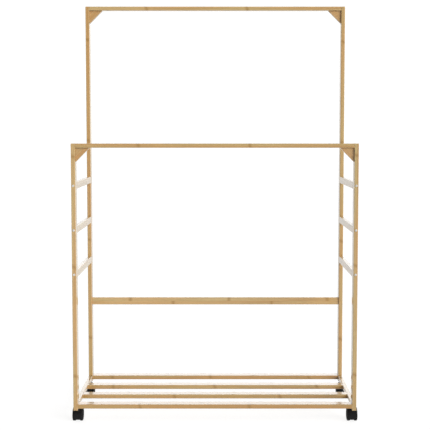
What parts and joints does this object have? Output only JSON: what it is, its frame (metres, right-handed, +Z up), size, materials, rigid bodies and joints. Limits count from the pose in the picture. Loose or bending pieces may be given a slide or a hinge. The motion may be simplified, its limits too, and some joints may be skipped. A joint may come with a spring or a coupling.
{
  "type": "rolling clothes rack",
  "caption": "Bamboo clothes rack with a high back rail, a low front rail, side rungs and a slatted shelf, rolling on twin-wheel swivel casters.",
  "frame": {"origin": "on the floor under the middle of the rack's plan", "axes": "+X to the right seen from the front, +Y from the low front frame to the tall back frame, +Z up"},
  "size_m": [1.021, 0.419, 1.518],
  "materials": {
    "bamboo": "satin clear lacquer on laminated bamboo",
    "bolt_steel": "bright zinc",
    "caster_steel": "zinc",
    "caster_plastic": "moulded, fine texture",
    "wheel_plastic": "moulded, smooth tread"
  },
  "bodies": {
    "rack_frame": {"post_front_left": "bamboo", "post_front_right": "bamboo", "post_back_left": "bamboo", "post_back_right": "bamboo", "hanging_rail_front": "bamboo", "hanging_rail_back": "bamboo", "gusset_front_left": "bamboo", "gusset_front_right": "bamboo", "gusset_back_left": "bamboo", "gusset_back_right": "bamboo", "rung_left_top": "bamboo", "rung_left_middle": "bamboo", "rung_left_bottom": "bamboo", "rung_right_top": "bamboo", "rung_right_middle": "bamboo", "rung_right_bottom": "bamboo", "crossbar_back": "bamboo", "shelf_rail_left": "bamboo", "shelf_rail_right": "bamboo", "slat_front": "bamboo", "slat_front_middle": "bamboo", "slat_back_middle": "bamboo", "slat_back": "bamboo", "rail_bolt_front_left": "bolt_steel", "rung_bolt_front_left_top": "bolt_steel", "rung_bolt_front_left_middle": "bolt_steel", "rung_bolt_front_left_bottom": "bolt_steel", "rail_bolt_front_right": "bolt_steel", "rung_bolt_front_right_top": "bolt_steel", "rung_bolt_front_right_middle": "bolt_steel", "rung_bolt_front_right_bottom": "bolt_steel", "rail_bolt_back_left": "bolt_steel", "rung_bolt_back_left_top": "bolt_steel", "rung_bolt_back_left_middle": "bolt_steel", "rung_bolt_back_left_bottom": "bolt_steel", "rail_bolt_back_right": "bolt_steel", "rung_bolt_back_right_top": "bolt_steel", "rung_bolt_back_right_middle": "bolt_steel", "rung_bolt_back_right_bottom": "bolt_steel", "caster_stem_front_left": "caster_steel", "caster_stem_front_right": "caster_steel", "caster_stem_back_left": "caster_steel", "caster_stem_back_right": "caster_steel"},
    "caster_front_left": {"caster_hood_front_left": "caster_plastic", "caster_axle_front_left": "caster_steel"},
    "wheel_front_left_left": {"caster_wheel_front_left_left": "wheel_plastic"},
    "wheel_front_left_right": {"caster_wheel_front_left_right": "wheel_plastic"},
    "caster_front_right": {"caster_hood_front_right": "caster_plastic", "caster_axle_front_right": "caster_steel"},
    "wheel_front_right_left": {"caster_wheel_front_right_left": "wheel_plastic"},
    "wheel_front_right_right": {"caster_wheel_front_right_right": "wheel_plastic"},
    "caster_back_left": {"caster_hood_back_left": "caster_plastic", "caster_axle_back_left": "caster_steel"},
    "wheel_back_left_left": {"caster_wheel_back_left_left": "wheel_plastic"},
    "wheel_back_left_right": {"caster_wheel_back_left_right": "wheel_plastic"},
    "caster_back_right": {"caster_hood_back_right": "caster_plastic", "caster_axle_back_right": "caster_steel"},
    "wheel_back_right_left": {"caster_wheel_back_right_left": "wheel_plastic"},
    "wheel_back_right_right": {"caster_wheel_back_right_right": "wheel_plastic"}
  },
  "joints": [
    {"name": "swivel_front_left", "type": "hinge", "parent": "rack_frame", "child": "caster_front_left", "pos_m": [-0.4925, -0.1605, 0.0515], "axis": [0, 0, 1], "continuous": true},
    {"name": "roll_front_left_left", "type": "hinge", "parent": "caster_front_left", "child": "wheel_front_left_left", "pos_m": [-0.4925, -0.1475, 0.023], "axis": [1, 0, 0], "continuous": true},
    {"name": "roll_front_left_right", "type": "hinge", "parent": "caster_front_left", "child": "wheel_front_left_right", "pos_m": [-0.4925, -0.1475, 0.023], "axis": [1, 0, 0], "continuous": true},
    {"name": "swivel_front_right", "type": "hinge", "parent": "rack_frame", "child": "caster_front_right", "pos_m": [0.4925, -0.1605, 0.0515], "axis": [0, 0, 1], "continuous": true},
    {"name": "roll_front_right_left", "type": "hinge", "parent": "caster_front_right", "child": "wheel_front_right_left", "pos_m": [0.4925, -0.1475, 0.023], "axis": [1, 0, 0], "continuous": true},
    {"name": "roll_front_right_right", "type": "hinge", "parent": "caster_front_right", "child": "wheel_front_right_right", "pos_m": [0.4925, -0.1475, 0.023], "axis": [1, 0, 0], "continuous": true},
    {"name": "swivel_back_left", "type": "hinge", "parent": "rack_frame", "child": "caster_back_left", "pos_m": [-0.4925, 0.1605, 0.0515], "axis": [0, 0, 1], "continuous": true},
    {"name": "roll_back_left_left", "type": "hinge", "parent": "caster_back_left", "child": "wheel_back_left_left", "pos_m": [-0.4925, 0.1475, 0.023], "axis": [1, 0, 0], "continuous": true},
    {"name": "roll_back_left_right", "type": "hinge", "parent": "caster_back_left", "child": "wheel_back_left_right", "pos_m": [-0.4925, 0.1475, 0.023], "axis": [1, 0, 0], "continuous": true},
    {"name": "swivel_back_right", "type": "hinge", "parent": "rack_frame", "child": "caster_back_right", "pos_m": [0.4925, 0.1605, 0.0515], "axis": [0, 0, 1], "continuous": true},
    {"name": "roll_back_right_left", "type": "hinge", "parent": "caster_back_right", "child": "wheel_back_right_left", "pos_m": [0.4925, 0.1475, 0.023], "axis": [1, 0, 0], "continuous": true},
    {"name": "roll_back_right_right", "type": "hinge", "parent": "caster_back_right", "child": "wheel_back_right_right", "pos_m": [0.4925, 0.1475, 0.023], "axis": [1, 0, 0], "continuous": true}
  ]
}
